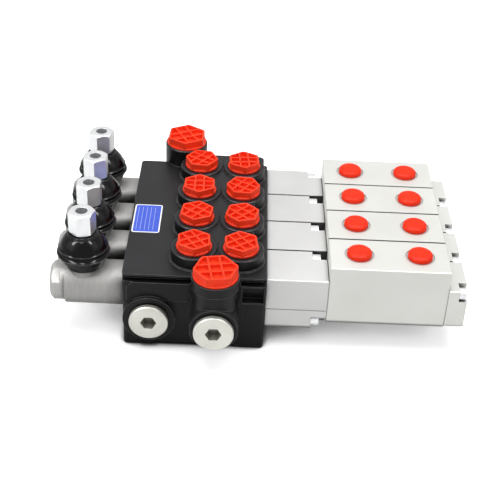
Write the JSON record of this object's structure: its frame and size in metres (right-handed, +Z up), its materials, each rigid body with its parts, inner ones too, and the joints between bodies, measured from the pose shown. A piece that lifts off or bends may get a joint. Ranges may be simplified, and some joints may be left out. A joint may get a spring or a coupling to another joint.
{
  "type": "multi-spool directional control valve",
  "caption": "Monoblock directional valve: cast body with capped ports, lever stems in rubber boots on one side and a row of air cylinders on the other.",
  "frame": {"origin": "centre of the four mounting holes in the plane of the feet", "axes": "+X along the spools from the levers to the air cylinders, +Z up from the feet, -Y is the front with the two steel plugs"},
  "size_m": [0.2987, 0.214, 0.0984],
  "materials": {
    "cast_black": "satin black paint on casting",
    "plate_blue": "printed plate",
    "zinc_steel": "bright zinc plating",
    "seal_rubber": "moulded",
    "cap_red": "moulded polyethylene",
    "ground_steel": "ground",
    "housing_grey": "cast and turned",
    "boot_rubber": "glossy moulded",
    "block_aluminium": "fine blasted",
    "spring_steel": "wound wire"
  },
  "bodies": {
    "valve": {"valve_body": "cast_black", "rating_plate": "plate_blue", "inlet_gallery_plug": "zinc_steel", "relief_cavity_plug": "zinc_steel", "port_plug_seals": "seal_rubber", "work_port_caps": "cap_red", "inlet_port_cap": "cap_red", "outlet_port_cap": "cap_red", "air_port_caps": "cap_red", "spool_seals": "seal_rubber", "lever_pivot_pins": "ground_steel", "lever_end_plugs": "housing_grey", "spring_housing_screws": "zinc_steel", "cover_tie_screws": "zinc_steel", "lever_housing_1": "housing_grey", "lever_housing_2": "housing_grey", "lever_housing_3": "housing_grey", "lever_housing_4": "housing_grey", "lever_boot_1": "boot_rubber", "lever_boot_2": "boot_rubber", "lever_boot_3": "boot_rubber", "lever_boot_4": "boot_rubber", "spring_housing_1": "block_aluminium", "spring_housing_2": "block_aluminium", "spring_housing_3": "block_aluminium", "spring_housing_4": "block_aluminium", "centering_spring_1": "spring_steel", "centering_spring_2": "spring_steel", "centering_spring_3": "spring_steel", "centering_spring_4": "spring_steel", "air_cylinder_1": "block_aluminium", "air_cylinder_2": "block_aluminium", "air_cylinder_3": "block_aluminium", "air_cylinder_4": "block_aluminium", "cylinder_end_cover_1": "block_aluminium", "cylinder_end_cover_2": "block_aluminium", "cylinder_end_cover_3": "block_aluminium", "cylinder_end_cover_4": "block_aluminium"},
    "spool_1": {"spool_1": "ground_steel", "air_piston_1": "block_aluminium", "piston_seal_1": "seal_rubber"},
    "lever_1": {"lever_ball_stem_1": "ground_steel", "lever_socket_1": "zinc_steel"},
    "spool_2": {"spool_2": "ground_steel", "air_piston_2": "block_aluminium", "piston_seal_2": "seal_rubber"},
    "lever_2": {"lever_ball_stem_2": "ground_steel", "lever_socket_2": "zinc_steel"},
    "spool_3": {"spool_3": "ground_steel", "air_piston_3": "block_aluminium", "piston_seal_3": "seal_rubber"},
    "lever_3": {"lever_ball_stem_3": "ground_steel", "lever_socket_3": "zinc_steel"},
    "spool_4": {"spool_4": "ground_steel", "air_piston_4": "block_aluminium", "piston_seal_4": "seal_rubber"},
    "lever_4": {"lever_ball_stem_4": "ground_steel", "lever_socket_4": "zinc_steel"}
  },
  "joints": [
    {"name": "spool_slide_1", "type": "slide", "parent": "valve", "child": "spool_1", "axis": [1, 0, 0], "range_m": [-0.006, 0.006], "stiffness_N_per_m": 2500, "deforming": ["centering_spring_1"]},
    {"name": "lever_tilt_1", "type": "hinge", "parent": "valve", "child": "lever_1", "pos_m": [-0.0802, -0.0543, 0.056], "axis": [0, 1, 0], "range_deg": [-19.2, 19.2], "deforming": ["lever_boot_1"]},
    {"name": "spool_slide_2", "type": "slide", "parent": "valve", "child": "spool_2", "axis": [1, 0, 0], "range_m": [-0.006, 0.006], "stiffness_N_per_m": 2500, "deforming": ["centering_spring_2"]},
    {"name": "lever_tilt_2", "type": "hinge", "parent": "valve", "child": "lever_2", "pos_m": [-0.0802, -0.0163, 0.056], "axis": [0, 1, 0], "range_deg": [-19.2, 19.2], "deforming": ["lever_boot_2"]},
    {"name": "spool_slide_3", "type": "slide", "parent": "valve", "child": "spool_3", "axis": [1, 0, 0], "range_m": [-0.006, 0.006], "stiffness_N_per_m": 2500, "deforming": ["centering_spring_3"]},
    {"name": "lever_tilt_3", "type": "hinge", "parent": "valve", "child": "lever_3", "pos_m": [-0.0802, 0.0217, 0.056], "axis": [0, 1, 0], "range_deg": [-19.2, 19.2], "deforming": ["lever_boot_3"]},
    {"name": "spool_slide_4", "type": "slide", "parent": "valve", "child": "spool_4", "axis": [1, 0, 0], "range_m": [-0.006, 0.006], "stiffness_N_per_m": 2500, "deforming": ["centering_spring_4"]},
    {"name": "lever_tilt_4", "type": "hinge", "parent": "valve", "child": "lever_4", "pos_m": [-0.0802, 0.0597, 0.056], "axis": [0, 1, 0], "range_deg": [-19.2, 19.2], "deforming": ["lever_boot_4"]}
  ],
  "couplings": [
    {"joint": "lever_tilt_1", "follows": "spool_slide_1", "rad_per_m": -55.556},
    {"joint": "lever_tilt_2", "follows": "spool_slide_2", "rad_per_m": -55.556},
    {"joint": "lever_tilt_3", "follows": "spool_slide_3", "rad_per_m": -55.556},
    {"joint": "lever_tilt_4", "follows": "spool_slide_4", "rad_per_m": -55.556}
  ]
}
